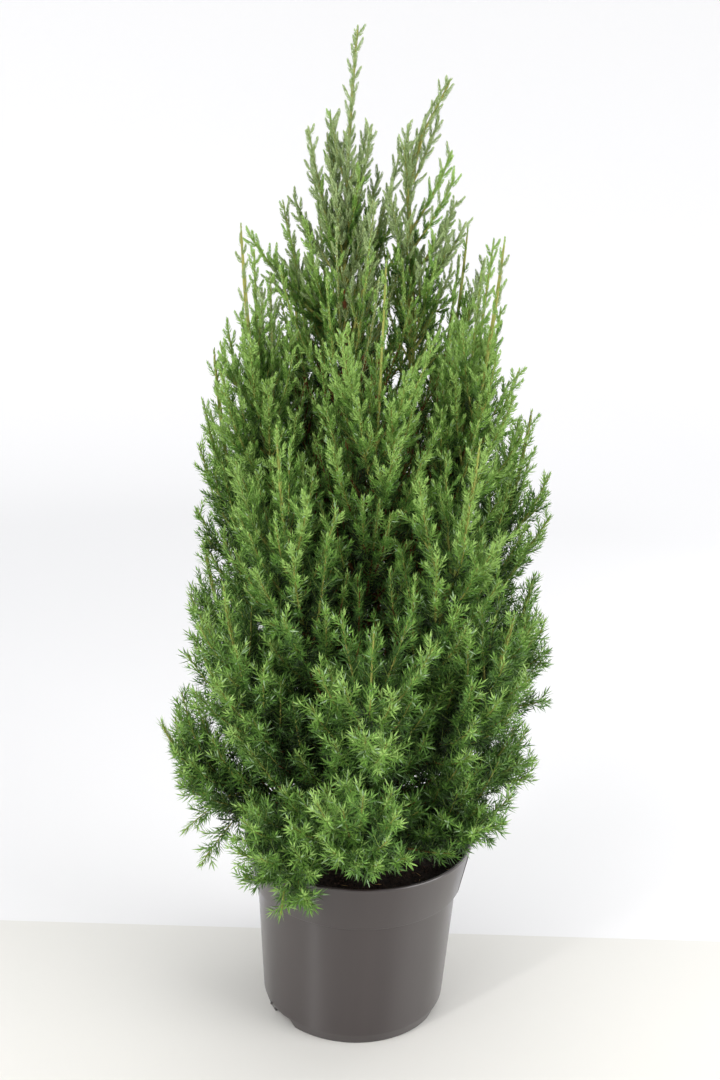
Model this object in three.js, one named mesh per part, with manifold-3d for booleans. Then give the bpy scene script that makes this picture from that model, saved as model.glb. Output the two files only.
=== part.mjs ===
// A young conical Chinese juniper in its round nursery pot, at its real size in millimetres, +Z up.
// The origin is the middle of the pot's flat underside. The front of the plant faces -Y.
// A leaning trunk rises from the potting mix, and a second leader forks off it. Boughs ascend from
// the trunk in four tiers. Each one carries a mass of foliage: a stem, a core round it, and twigs
// that branch from the stem by a seeded rule, with toothed blades that stand for sprays of needles.
import * as THREE from "three";
import { mergeVertices } from "three/addons/utils/BufferGeometryUtils.js";
import Module from "manifold-3d";

const wasm = await Module();
wasm.setup();

// Driving dimensions of the pot
const POT = {
  height: 176,
  rimRadius: 109.5,
  bandRadius: 101,
  bandBottom: 130,
  bodyRadius: 96.5,
  shoulderRadius: 88.5,
  shoulderHeight: 11,
  footRadius: 84.5,
  lip: 0.8,
  wall: 2.4,
  floor: 3.6,
  footEdge: 2,
  sides: 32,
};
const NOTCH = { count: 3, turn: -141, halfAngle: 11, height: 9, depth: 16, bite: 8, slope: 0.45 };
const MIX = { top: 158, fit: 0.9, edgeDrop: 6, moundRadius: 34, shoulderRadius: 62, footInset: 12 };
const GAP = 0.3;

// Driving dimensions of the plant
const TRUNK = {
  footRadius: 15,
  radius: 9.5,
  tipRadius: 2.2,
  flareHeight: 26,
  rings: 16,
  sides: 8,
  tipHeight: 690,
  taperPower: 0.85,
  flatCut: 2,
};
const TRUNK_LEAN = [
  [0, 0, MIX.top + GAP],
  [-3, -2, 260],
  [-9, -3, 400],
  [-22, 0, 560],
  [-29, 0, 650],
  [-30, 0, TRUNK.tipHeight],
];
const CROWN_OUTLINE = [
  [120, 118],
  [165, 146],
  [215, 168],
  [300, 176],
  [430, 166],
  [570, 148],
  [660, 142],
  [745, 124],
  [800, 76],
  [860, 57],
  [905, 40],
];
const CROWN_TOP = 905;
// Each tier's first turn in degrees, its forks' height on the trunk, its tips' radius and height, the
// share of the limb that is bare bough, and the number and length of its twigs.
const TIERS = [
  {
    name: "skirt",
    count: 8,
    turn: 187,
    fork: 192,
    radius: 158,
    height: 252,
    bough: 0.24,
    twigs: 11,
    length: 88,
  },
  {
    name: "low",
    count: 7,
    turn: 218.6,
    fork: 222,
    radius: 162,
    height: 440,
    bough: 0.2,
    twigs: 12,
    length: 112,
  },
  {
    name: "middle",
    count: 6,
    turn: 180,
    fork: 290,
    radius: 146,
    height: 600,
    bough: 0.18,
    twigs: 13,
    length: 126,
  },
  {
    name: "upper",
    count: 6,
    turn: 210,
    fork: 360,
    radius: 104,
    height: 736,
    bough: 0.18,
    twigs: 12,
    length: 112,
  },
];
const FORK_STEP = 5;
const JITTER = { turn: 5, fork: 3, radius: 7, height: 14 };
const CONTROLS = { out: [0.46, 0.92], rise: [0.14, 0.46] };
// Limbs that leave their tier: how much further out, higher and round their tips are. One droops over
// the rim.
const STAY = { out: 0, up: 0, turn: 0, rise: CONTROLS.rise };
const STRAYS = [
  { tier: "skirt", index: 0, out: 30, up: 36 },
  { tier: "skirt", index: 1, out: -24, up: -108, turn: 6, rise: [-0.35, -0.4] },
  { tier: "skirt", index: 2, up: -10, turn: -7 },
  { tier: "skirt", index: 3, out: -20, up: 10 },
  { tier: "skirt", index: 4, out: -16, up: 4 },
  { tier: "low", index: 3, out: -10 },
  { tier: "middle", index: 0, up: 46 },
  { tier: "middle", index: 3, out: -14, up: 4 },
  { tier: "upper", index: 0, out: 26, up: 6, turn: -6 },
  { tier: "upper", index: 2, out: 11, up: 16 },
  { tier: "upper", index: 3, out: -4, up: 10, turn: 5 },
  { tier: "upper", index: 5, out: -12 },
];
const LEADER = {
  start: [-30, 0, TRUNK.tipHeight],
  bend: [-33, 0, 800],
  tip: [-26, 0, 902],
  twigs: 13,
  length: 100,
};
const SECOND_LEADER = {
  fork: 392,
  bough: 0.4,
  knee: [26, -2, 520],
  shoulder: [29, 0, 690],
  bend: [22, 0, 792],
  tip: [52, 0, 864],
  twigs: 13,
  length: 100,
};
const SPIRE = { taper: 0.7, girth: 26 };
const LIMB = { rootShare: 0.5, tipRadius: 1.9, sides: 5, rings: 4 };
const STEM = { radius: 1.7, tipRadius: 0.8, rings: 3, end: 0.97 };
const TWIG = {
  radius: 1.6,
  angle: 35,
  out: 0.82,
  lift: 0.36,
  taper: 0.4,
  first: 0.02,
  last: 0.88,
  turnJitter: 0.3,
  angleJitter: 8,
  lengthJitter: 0.12,
};
const BLADE = {
  length: 62,
  width: 0.42,
  thickness: 7,
  share: 0.9,
  sideShare: 0.8,
  sideAt: 0.3,
  lean: 0.5,
  sink: 5,
  thickestAt: 0.42,
};
// A blade's outline from its tip down one side and up the other, as shares of its width and length
const BLADE_OUTLINE = [
  [0, 1],
  [-0.5, 0.58],
  [-0.2, 0.34],
  [0, 0],
  [0.24, 0.24],
  [0.5, 0.46],
];
const CROSSWISE = Math.PI / 2;
const END_SPARE = 4;
const CORE = { radius: 56, sides: 6, rings: 3, from: 0.02, to: 0.9, fill: 0.84, inset: 0.45 };
const CLEAR = 1.2;
const OVERHANG = 5;
const GOLDEN = THREE.MathUtils.degToRad(137.508);
const UP = new THREE.Vector3(0, 0, 1);
const LIMB_SEED = 1907;
const FIRST_SEED = 100;

const COLOURS = { pot: "#4f4b4a", mix: "#241a14", bark: "#7a4a2c", foliage: "#5c8a45" };

// A small seeded generator of numbers from 0 to 1
function randomFrom(seed) {
  let state = seed >>> 0;
  return () => {
    state = (state + 0x6d2b79f5) >>> 0;
    let mixed = Math.imul(state ^ (state >>> 15), state | 1);
    mixed = (mixed + Math.imul(mixed ^ (mixed >>> 7), mixed | 61)) ^ mixed;
    return ((mixed ^ (mixed >>> 14)) >>> 0) / 4294967296;
  };
}

const spread = (random, width) => (random() * 2 - 1) * width;

// Solids

function solidFrom(geometry) {
  const bare = geometry.clone();
  bare.deleteAttribute("normal");
  bare.deleteAttribute("uv");
  const merged = mergeVertices(bare, 1e-3);
  const mesh = new wasm.Mesh({
    numProp: 3,
    vertProperties: new Float32Array(merged.attributes.position.array),
    triVerts: new Uint32Array(merged.index.array),
  });
  return new wasm.Manifold(mesh);
}

function geometryFrom(solid) {
  const mesh = solid.getMesh();
  const geometry = new THREE.BufferGeometry();
  geometry.setAttribute("position", new THREE.BufferAttribute(new Float32Array(mesh.vertProperties), 3));
  geometry.setIndex(new THREE.BufferAttribute(new Uint32Array(mesh.triVerts), 1));
  geometry.computeVertexNormals();
  return geometry;
}

function joined(solids) {
  return solids.reduce((whole, piece) => whole.add(piece));
}

function largestPiece(solid) {
  return solid.decompose().reduce((best, piece) => (piece.volume() > best.volume() ? piece : best));
}

// Pieces fused into one body: loose scraps are dropped and sealed hollows filled, also those that
// only close when near vertices are merged.
function fusedGeometry(pieces) {
  let solid = largestPiece(joined(pieces));
  for (let round = 0; round < 2; round++) solid = largestPiece(solidFrom(geometryFrom(solid)));
  return geometryFrom(solid);
}

// Curves and the shapes along them

// Two directions square to a tangent: the first leans to the outside of the plant.
function across(tangent, outward) {
  const first = outward.clone().addScaledVector(tangent, -outward.dot(tangent)).normalize();
  return [first, new THREE.Vector3().crossVectors(tangent, first)];
}

// A tapering limb: a cylinder whose rings follow a curve from one share of it to another.
function limbGeometry(curve, from, to, radiusAt, sides, rings) {
  const geometry = new THREE.CylinderGeometry(1, 1, 1, sides, rings);
  const place = geometry.getAttribute("position");
  const outward = new THREE.Vector3(1, 0.2, 0);
  for (let i = 0; i < place.count; i++) {
    const share = place.getY(i) + 0.5;
    const t = from + (to - from) * share;
    const centre = curve.getPoint(t);
    const tangent = curve.getTangent(t);
    const [first, second] = across(tangent, outward);
    const radius = radiusAt(share);
    centre.addScaledVector(first, place.getZ(i) * radius).addScaledVector(second, place.getX(i) * radius);
    place.setXYZ(i, centre.x, centre.y, centre.z);
  }
  return geometry;
}

// A toothed blade that grows along +Z from the origin, flat in XZ: a spray of needles.
function bladeGeometry(length) {
  const width = length * BLADE.width;
  const corners = BLADE_OUTLINE.length;
  const geometry = new THREE.SphereGeometry(1, corners, 2);
  const place = geometry.getAttribute("position");
  for (let i = 0; i < place.count; i++) {
    const height = place.getY(i);
    if (Math.abs(height) > 0.5) {
      place.setXYZ(i, 0, (Math.sign(height) * BLADE.thickness) / 2, length * BLADE.thickestAt);
    } else {
      const angle = Math.atan2(place.getZ(i), place.getX(i));
      const index = Math.round((angle / (2 * Math.PI)) * corners + corners) % corners;
      const [x, z] = BLADE_OUTLINE[index];
      place.setXYZ(i, x * width, 0, z * length);
    }
  }
  return geometry;
}

function placed(geometry, origin, direction, roll) {
  const turn = new THREE.Quaternion().setFromUnitVectors(UP, direction);
  turn.multiply(new THREE.Quaternion().setFromAxisAngle(UP, roll));
  return geometry.applyMatrix4(new THREE.Matrix4().compose(origin, turn, new THREE.Vector3(1, 1, 1)));
}

// Places: crown outline, distance to a limb

function interpolate(table, height) {
  const last = table.length - 1;
  if (height <= table[0][0]) return table[0][1];
  if (height >= table[last][0]) return table[last][1];
  const k = table.findIndex((row) => row[0] > height);
  const [z0, r0] = table[k - 1];
  const [z1, r1] = table[k];
  return r0 + ((r1 - r0) * (height - z0)) / (z1 - z0);
}

function distanceToPath(point, path) {
  let nearest = Infinity;
  const line = new THREE.Line3();
  const foot = new THREE.Vector3();
  for (let i = 0; i + 1 < path.length; i++) {
    line.set(path[i], path[i + 1]).closestPointToPoint(point, true, foot);
    nearest = Math.min(nearest, foot.distanceTo(point));
  }
  return nearest;
}

function pathOf(curve, from, to, steps = 14) {
  return Array.from({ length: steps + 1 }, (_, i) => curve.getPoint(from + ((to - from) * i) / steps));
}

// The trunk

const trunkCurve = new THREE.CatmullRomCurve3(
  TRUNK_LEAN.map((p) => new THREE.Vector3(...p)),
  false,
  "centripetal",
);
const trunkLength = TRUNK.tipHeight - MIX.top;

function trunkRadius(share) {
  const above = share * trunkLength;
  const taper = TRUNK.radius + (TRUNK.tipRadius - TRUNK.radius) * share ** TRUNK.taperPower;
  const flare = (TRUNK.footRadius - TRUNK.radius) * Math.max(0, 1 - above / TRUNK.flareHeight) ** 2;
  return taper + flare;
}

// The curve's share at which the trunk stands at a height, by halving
function trunkShareAt(height) {
  let low = 0;
  let high = 1;
  for (let halving = 0; halving < 24; halving++) {
    const middle = (low + high) / 2;
    if (trunkCurve.getPoint(middle).z < height) low = middle;
    else high = middle;
  }
  return low;
}

function trunkGeometry(extra) {
  const radiusAt = (share) => trunkRadius(share) + extra;
  const geometry = limbGeometry(trunkCurve, 0, 1, radiusAt, TRUNK.sides, TRUNK.rings);
  const place = geometry.getAttribute("position");
  for (let i = 0; i < place.count; i++) {
    if (place.getZ(i) < MIX.top + TRUNK.flatCut) place.setZ(i, MIX.top + GAP);
  }
  return geometry;
}

// Limbs: each is a curve from the trunk to the tip of its foliage, and its bough is the first part.

function tierLimbs() {
  const random = randomFrom(LIMB_SEED);
  const limbs = [];
  for (const tier of TIERS) {
    for (let i = 0; i < tier.count; i++) {
      const stray = { ...STAY, ...STRAYS.find((row) => row.tier === tier.name && row.index === i) };
      const turn = tier.turn + (360 / tier.count) * i + spread(random, JITTER.turn) + stray.turn;
      const angle = THREE.MathUtils.degToRad(turn);
      const forkHeight = tier.fork + ((i * 3) % tier.count) * FORK_STEP + spread(random, JITTER.fork);
      const fork = trunkCurve.getPoint(trunkShareAt(forkHeight));
      const radius = tier.radius + spread(random, JITTER.radius) + stray.out;
      const height = tier.height + spread(random, JITTER.height) + stray.up;
      const out = new THREE.Vector3(Math.cos(angle), Math.sin(angle), 0);
      const tip = out.clone().multiplyScalar(radius).setZ(height);
      const controls = CONTROLS.out.map((share, k) => {
        const rise = (height - fork.z) * stray.rise[k];
        return new THREE.Vector3().lerpVectors(fork, tip, share).setZ(fork.z + rise);
      });
      limbs.push({
        name: `${tier.name}_${i + 1}`,
        curve: new THREE.CubicBezierCurve3(fork, ...controls, tip),
        bough: tier.bough,
        outward: out,
        twigs: tier.twigs,
        length: tier.length,
        taper: TWIG.taper,
        girth: CORE.radius,
      });
    }
  }
  return limbs;
}

function secondLeader() {
  const fork = trunkCurve.getPoint(trunkShareAt(SECOND_LEADER.fork));
  const { knee, shoulder, bend, tip } = SECOND_LEADER;
  const points = [knee, shoulder, bend, tip].map((p) => new THREE.Vector3(...p));
  return {
    name: "second_leader",
    curve: new THREE.CatmullRomCurve3([fork, ...points], false, "centripetal"),
    bough: SECOND_LEADER.bough,
    outward: new THREE.Vector3(1, 0, 0),
    twigs: SECOND_LEADER.twigs,
    length: SECOND_LEADER.length,
    taper: SPIRE.taper,
    girth: SPIRE.girth,
  };
}

function leader() {
  const points = [LEADER.start, LEADER.bend, LEADER.tip].map((p) => new THREE.Vector3(...p));
  return {
    name: "leader",
    curve: new THREE.QuadraticBezierCurve3(...points),
    bough: 0,
    outward: new THREE.Vector3(-1, 0, 0),
    twigs: LEADER.twigs,
    length: LEADER.length,
    taper: SPIRE.taper,
    girth: SPIRE.girth,
  };
}

const limbs = [...tierLimbs(), secondLeader(), leader()];
for (const limb of limbs) {
  limb.stemPath = pathOf(limb.curve, limb.bough, 1);
  if (limb.bough > 0) {
    const rootRadius = trunkRadius(trunkShareAt(limb.curve.getPoint(0).z)) * LIMB.rootShare;
    limb.boughRadius = (share) => rootRadius + (LIMB.tipRadius - rootRadius) * share;
    limb.boughPath = pathOf(limb.curve, 0, limb.bough, 8);
    limb.boughWidest = rootRadius;
  }
}

const trunkPath = pathOf(trunkCurve, 0, 1, 24);

// Whether a point is in a mass's own space, clear of the limbs, the pot and the potting mix
function inSpace(point, limb, inset = -OVERHANG) {
  const own = distanceToPath(point, limb.stemPath);
  for (const other of limbs) {
    if (other !== limb && distanceToPath(point, other.stemPath) < own + 2 * CLEAR) return false;
    if (other.boughPath && other !== limb) {
      if (distanceToPath(point, other.boughPath) < other.boughWidest + CLEAR) return false;
    }
  }
  const share = trunkShareAt(point.z);
  if (distanceToPath(point, trunkPath) < trunkRadius(share) + CLEAR) return false;
  const radius = Math.hypot(point.x, point.y);
  if (point.z > CROWN_TOP || radius > interpolate(CROWN_OUTLINE, point.z) - inset) return false;
  return radius > POT.rimRadius + CLEAR || point.z > POT.height + CLEAR;
}

function allInSpace(geometry, limb) {
  const place = geometry.getAttribute("position");
  const point = new THREE.Vector3();
  for (let i = 0; i < place.count; i++) {
    if (!inSpace(point.fromBufferAttribute(place, i), limb)) return false;
  }
  return true;
}

// A slim core round the stem, drawn in wherever a neighbour or a limb is near
const CORE_STEP = 1;

function coreGeometry(limb) {
  const geometry = new THREE.SphereGeometry(1, CORE.sides, CORE.rings + 1);
  const place = geometry.getAttribute("position");
  const probe = new THREE.Vector3();
  for (let i = 0; i < place.count; i++) {
    const along = (place.getY(i) + 1) / 2;
    const share = CORE.from + (CORE.to - CORE.from) * along;
    const t = limb.bough + (1 - limb.bough) * share;
    const centre = limb.curve.getPoint(t);
    const [first, second] = across(limb.curve.getTangent(t), limb.outward);
    const [x, z] = [place.getX(i), place.getZ(i)];
    const size = Math.hypot(x, z);
    if (size > 1e-6) {
      const side = first.multiplyScalar(z / size).addScaledVector(second, x / size);
      let reach = STEM.radius;
      while (reach < limb.girth * size) {
        probe.copy(centre).addScaledVector(side, (reach + CORE_STEP) / CORE.fill);
        if (!inSpace(probe, limb, limb.girth * CORE.inset)) break;
        reach += CORE_STEP;
      }
      centre.addScaledVector(side, reach);
    }
    place.setXYZ(i, centre.x, centre.y, centre.z);
  }
  return geometry;
}

// The twigs of a mass by the seeded rule: where each one starts, where it ends, and its turn
function twigsOf(limb, seed) {
  const random = randomFrom(seed);
  const phase = random() * 2 * Math.PI;
  const twigs = [];
  for (let i = 0; i < limb.twigs; i++) {
    const along = TWIG.first + ((TWIG.last - TWIG.first) * (i + 0.5)) / limb.twigs;
    const t = limb.bough + (1 - limb.bough) * along;
    const base = limb.curve.getPoint(t);
    const tangent = limb.curve.getTangent(t);
    const [first, second] = across(tangent, limb.outward);
    const turn = phase + i * GOLDEN + spread(random, TWIG.turnJitter);
    const angle = THREE.MathUtils.degToRad(TWIG.angle + spread(random, TWIG.angleJitter));
    const length = limb.length * (1 - limb.taper * along) * (1 + spread(random, TWIG.lengthJitter));
    const direction = tangent
      .clone()
      .multiplyScalar(Math.cos(angle))
      .addScaledVector(first, Math.sin(angle) * Math.cos(turn))
      .addScaledVector(second, Math.sin(angle) * Math.sin(turn));
    const tip = base.clone().addScaledVector(direction, length * TWIG.out);
    tip.addScaledVector(UP, length * TWIG.lift);
    twigs.push({ base, tip, turn });
  }
  const lastStretch = (BLADE.length + END_SPARE) / limb.curve.getLength();
  twigs.push({ base: limb.curve.getPoint(1 - lastStretch), tip: limb.curve.getPoint(1), turn: phase });
  return twigs;
}

// A twig with a blade at its end and, where it is long, another at its side. One that would leave the
// mass's space or touch a limb is skipped.
function twigSolids(twig, limb) {
  const direction = twig.tip.clone().sub(twig.base);
  const length = direction.length();
  direction.normalize();
  if (!inSpace(twig.tip, limb)) return [];
  const cone = new THREE.ConeGeometry(TWIG.radius, length, 3, 1);
  cone.rotateX(Math.PI / 2).translate(0, 0, length / 2);
  const pieces = [solidFrom(placed(cone, twig.base, direction, twig.turn))];
  const bladeAt = (share, size, lean, roll) => {
    const root = twig.base.clone().addScaledVector(direction, length * share - BLADE.sink);
    const [first] = across(direction, UP);
    const leaning = direction.clone().addScaledVector(first, lean).normalize();
    const shape = placed(bladeGeometry(size), root, leaning, twig.turn + roll);
    if (allInSpace(shape, limb)) pieces.push(solidFrom(shape));
  };
  const size = Math.min(BLADE.length, length * BLADE.share);
  bladeAt(1 - (size - BLADE.sink) / length, size, 0, 0);
  if (length > BLADE.length) bladeAt(BLADE.sideAt, size * BLADE.sideShare, BLADE.lean, CROSSWISE);
  return pieces;
}

// The stem of a mass, which starts a gap beyond the bough's end
function stemSolid(limb) {
  const start = limb.bough + GAP / limb.curve.getLength();
  const radiusAt = (share) => STEM.radius + (STEM.tipRadius - STEM.radius) * share;
  return solidFrom(limbGeometry(limb.curve, start, STEM.end, radiusAt, 3, STEM.rings));
}

function massGeometry(limb, seed) {
  const pieces = [stemSolid(limb), solidFrom(coreGeometry(limb))];
  for (const twig of twigsOf(limb, seed)) pieces.push(...twigSolids(twig, limb));
  return fusedGeometry(pieces);
}

// A bough, cut clear of the trunk that it grows from
function boughGeometry(limb) {
  const whole = limbGeometry(limb.curve, 0, limb.bough, limb.boughRadius, LIMB.sides, LIMB.rings);
  return geometryFrom(largestPiece(solidFrom(whole).subtract(solidFrom(trunkGeometry(GAP)))));
}

// The pot and what fills it

function potProfile() {
  const inner = (radius) => radius - POT.wall;
  const points = [
    [0, 0],
    [POT.footRadius, 0],
    [POT.footRadius + POT.lip, POT.footEdge],
    [POT.shoulderRadius, POT.shoulderHeight],
    [POT.bodyRadius, POT.bandBottom - POT.lip],
    [POT.bandRadius - POT.lip, POT.bandBottom],
    [POT.bandRadius, POT.bandBottom + POT.lip],
    [POT.rimRadius, POT.height - POT.lip],
    [POT.rimRadius - POT.lip, POT.height],
    [inner(POT.rimRadius), POT.height],
    [inner(POT.bandRadius), POT.bandBottom + POT.wall],
    [inner(POT.bodyRadius), POT.bandBottom],
    [inner(POT.shoulderRadius), POT.shoulderHeight],
    [inner(POT.footRadius), POT.floor],
    [0, POT.floor],
  ];
  return points.map(([r, z]) => new THREE.Vector2(r, z));
}

function latheUpright(profile, sides) {
  return new THREE.LatheGeometry(profile, sides).rotateX(Math.PI / 2);
}

// A drainage notch: a wedge with sloping sides, cut through the corner between wall and floor
function notchSolid(index) {
  const middle = THREE.MathUtils.degToRad(NOTCH.turn + (360 / NOTCH.count) * index);
  const half = Math.tan(THREE.MathUtils.degToRad(NOTCH.halfAngle)) * POT.footRadius;
  const top = half - NOTCH.height * NOTCH.slope;
  const below = -1;
  const shape = new THREE.Shape([
    new THREE.Vector2(-half, below),
    new THREE.Vector2(half, below),
    new THREE.Vector2(half, 0),
    new THREE.Vector2(top, NOTCH.height),
    new THREE.Vector2(-top, NOTCH.height),
    new THREE.Vector2(-half, 0),
  ]);
  const block = new THREE.ExtrudeGeometry(shape, { depth: NOTCH.depth, bevelEnabled: false });
  block.rotateX(Math.PI / 2).translate(0, POT.footRadius + NOTCH.depth - NOTCH.bite, 0);
  block.rotateZ(middle - Math.PI / 2);
  return solidFrom(block);
}

function potGeometry() {
  let pot = solidFrom(latheUpright(potProfile(), POT.sides));
  for (let i = 0; i < NOTCH.count; i++) pot = pot.subtract(notchSolid(i));
  return geometryFrom(largestPiece(pot));
}

function mixGeometry() {
  const inside = (radius) => radius - POT.wall - MIX.fit;
  const edgeTop = MIX.top - MIX.edgeDrop;
  const bandShare = (edgeTop - POT.bandBottom) / (POT.height - POT.bandBottom);
  const edgeRadius = THREE.MathUtils.lerp(POT.bandRadius, POT.rimRadius, bandShare);
  const points = [
    [0, POT.floor + GAP],
    [POT.footRadius - MIX.footInset, POT.floor + GAP],
    [inside(POT.shoulderRadius), POT.floor + NOTCH.height],
    [inside(POT.bodyRadius), POT.bandBottom - POT.wall],
    [inside(POT.bodyRadius), POT.bandBottom + POT.wall],
    [inside(POT.bandRadius), POT.bandBottom + POT.wall + MIX.fit],
    [inside(edgeRadius), edgeTop],
    [MIX.shoulderRadius, MIX.top - 1],
    [MIX.moundRadius, MIX.top],
    [0, MIX.top],
  ];
  const profile = points.map(([r, z]) => new THREE.Vector2(r, z));
  return latheUpright(profile, POT.sides);
}

// The scene graph

const materials = {
  pot: new THREE.MeshStandardMaterial({ color: COLOURS.pot, roughness: 0.45, metalness: 0 }),
  mix: new THREE.MeshStandardMaterial({ color: COLOURS.mix, roughness: 1, metalness: 0 }),
  bark: new THREE.MeshStandardMaterial({ color: COLOURS.bark, roughness: 0.9, metalness: 0 }),
  foliage: new THREE.MeshStandardMaterial({ color: COLOURS.foliage, roughness: 0.7, metalness: 0 }),
};

const plant = new THREE.Group();

function addNode(name, geometry, material) {
  const mesh = new THREE.Mesh(geometry, material);
  mesh.name = name;
  plant.add(mesh);
}

addNode("pot", potGeometry(), materials.pot);
addNode("potting_mix", mixGeometry(), materials.mix);
addNode("trunk", trunkGeometry(0), materials.bark);
limbs.forEach((limb, index) => {
  if (limb.bough > 0) addNode(`bough_${limb.name}`, boughGeometry(limb), materials.bark);
  addNode(`foliage_${limb.name}`, massGeometry(limb, FIRST_SEED + index), materials.foliage);
});

export default plant;
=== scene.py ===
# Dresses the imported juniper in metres: moulded pot, potting mix, fibrous bark, twigs and needles.
# Limbs and twigs follow the part's own rule, in millimetres, and carry it on to finer shoots.
import math

import bmesh
import bpy
import numpy as np
from mathutils import Matrix, Vector, noise


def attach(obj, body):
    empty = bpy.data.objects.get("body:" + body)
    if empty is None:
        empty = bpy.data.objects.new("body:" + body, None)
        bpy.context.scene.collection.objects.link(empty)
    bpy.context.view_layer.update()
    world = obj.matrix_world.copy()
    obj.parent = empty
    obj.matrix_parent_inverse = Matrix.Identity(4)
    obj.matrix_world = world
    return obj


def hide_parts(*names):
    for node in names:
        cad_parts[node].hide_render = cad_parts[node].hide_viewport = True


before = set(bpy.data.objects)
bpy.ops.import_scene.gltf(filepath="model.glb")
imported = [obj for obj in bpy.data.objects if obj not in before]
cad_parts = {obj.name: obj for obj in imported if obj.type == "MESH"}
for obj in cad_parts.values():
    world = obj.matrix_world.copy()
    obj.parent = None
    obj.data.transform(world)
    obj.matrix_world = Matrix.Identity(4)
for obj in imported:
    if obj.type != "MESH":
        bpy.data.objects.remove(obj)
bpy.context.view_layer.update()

MM = 0.001
MASK = 0xFFFFFFFF
UP = np.array([0.0, 0.0, 1.0])
UP_VECTOR = Vector((0, 0, 1))
GOLDEN = math.radians(137.508)

# The part's driving dimensions, in millimetres
POT_HEIGHT = 176
RIM_RADIUS = 109.5
BAND_RADIUS = 101
BAND_BOTTOM = 130
BODY_RADIUS = 96.5
SHOULDER_RADIUS = 88.5
SHOULDER_HEIGHT = 11
FOOT_RADIUS = 84.5
WALL = 2.4
POT_FLOOR = 3.6
NOTCH_COUNT = 3
NOTCH_TURN = -141
NOTCH_HALF_ANGLE = 11
NOTCH_HEIGHT = 9
NOTCH_SLOPE = 0.45
NOTCH_BITE = 8
# Each nub of the mould: its turn in degrees, then its radius, height and size
POT_NUBS = [(-21, 97.6, 129.4, 0.9), (-162, 97.6, 129.4, 0.9), (-153, 88.4, 9.6, 1.3), (-90, 84.6, 2.4, 1.1)]
SEAM = dict(turn=-19, width=0.9, steps=12, bottom=1.5, short=6)
SEAM_SECTION = [(-0.5, -0.4), (-0.3, 0.3), (0.3, 0.3), (0.5, -0.4)]
POT_SIDES = 160
POT_ROUNDING = 1.2
POT_SHARP = 38
CAP_RADIUS = 8
MIX_TOP = 158
MIX_FIT = 0.9
MIX_EDGE_DROP = 6
MIX_FOOT_INSET = 12
MIX_SIDES = 96
MIX_RINGS = 40
MIX_FLAT_RING = 26
# Each layer of lumps on the mix: its scale, its plane in the noise and its height
MIX_RELIEF = [(0.09, 3.7, 2.2), (0.4, 9.1, 1.1)]
MIX_SUNK = 1.2
CRUMBS = dict(
    seed=77, count=1700, spread=0.97, lean=0.25, length=(0.9, 3.2), width=(0.5, 0.9), thickest=1.6,
    straws=0.035, straw_length=(4, 11), straw_width=0.7, bark=0.3,
)
GAP = 0.3
CLEAR = 1.2
OVERHANG = 5

TRUNK = dict(foot=15, radius=9.5, tip=2.2, flare=26, top=690, power=0.85)
TRUNK_LEAN = [
    (0, 0, MIX_TOP + GAP),
    (-3, -2, 260),
    (-9, -3, 400),
    (-22, 0, 560),
    (-29, 0, 650),
    (-30, 0, TRUNK["top"]),
]
CROWN_OUTLINE = [
    (120, 118),
    (165, 146),
    (215, 168),
    (300, 176),
    (430, 166),
    (570, 148),
    (660, 142),
    (745, 124),
    (800, 76),
    (860, 57),
    (905, 40),
]
CROWN_TOP = 905
TIER_FIELDS = ("name", "count", "turn", "fork", "radius", "height", "bough", "twigs", "length")
TIERS = [
    dict(zip(TIER_FIELDS, row))
    for row in (
        ("skirt", 8, 187, 192, 158, 252, 0.24, 11, 88),
        ("low", 7, 218.6, 222, 162, 440, 0.2, 12, 112),
        ("middle", 6, 180, 290, 146, 600, 0.18, 13, 126),
        ("upper", 6, 210, 360, 104, 736, 0.18, 12, 112),
    )
]
FORK_STEP = 5
JITTER = dict(turn=5, fork=3, radius=7, height=14)
CONTROL_OUT = (0.46, 0.92)
CONTROL_RISE = (0.14, 0.46)
STAY = dict(out=0, up=0, turn=0, rise=CONTROL_RISE)
STRAYS = {
    ("skirt", 0): dict(out=30, up=36),
    ("skirt", 1): dict(out=-24, up=-108, turn=6, rise=(-0.35, -0.4)),
    ("skirt", 2): dict(up=-10, turn=-7),
    ("skirt", 3): dict(out=-20, up=10),
    ("skirt", 4): dict(out=-16, up=4),
    ("low", 3): dict(out=-10),
    ("middle", 0): dict(up=46),
    ("middle", 3): dict(out=-14, up=4),
    ("upper", 0): dict(out=26, up=6, turn=-6),
    ("upper", 2): dict(out=11, up=16),
    ("upper", 3): dict(out=-4, up=10, turn=5),
    ("upper", 5): dict(out=-12),
}
LEADER = dict(start=(-30, 0, TRUNK["top"]), bend=(-33, 0, 800), tip=(-26, 0, 902))
SECOND_LEADER = dict(fork=392, path=[(26, -2, 520), (29, 0, 690), (22, 0, 792), (52, 0, 864)], bough=0.4)
SPIRE = dict(twigs=13, length=100)
LIMB_ROOT_SHARE = 0.5
LIMB_TIP = 1.9
STEM = dict(radius=1.7, tip=0.8, end=0.99, rings=16, sides=6)
TWIG = dict(angle=35, taper=0.4, first=0.02, last=0.88)
TWIG_JITTER = dict(turn=0.3, angle=8, length=0.12)
LIMB_SEED = 1907
FIRST_SEED = 100
PATH_POINTS = 15

# What the scene adds to the rule: more twigs, shoots along them, and whorls of needles on the shoots
FINER = 2.3
FIRST_ON_BOUGH = 0.2
LAST_TWIG = 0.72
LAST_SPIRE_TWIG = dict(leader=0.42, second_leader=0.46)
SPIRE_TAPER = 0.8
SHORTER = (1.0, 0.82, 0.66, 0.5)
SHOOT = dict(first=0.06, last=0.97, lift=0.22, reach=0.88, turn=1.3)
SHOOT_JITTER = dict(turn=0.25, angle=6, size=(0.75, 1.2))
TWIG_END = dict(shares=(0.3, 0.65, 1.0), reach=0.7)
TONE_PARTS = (0.6, 0.4)
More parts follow.
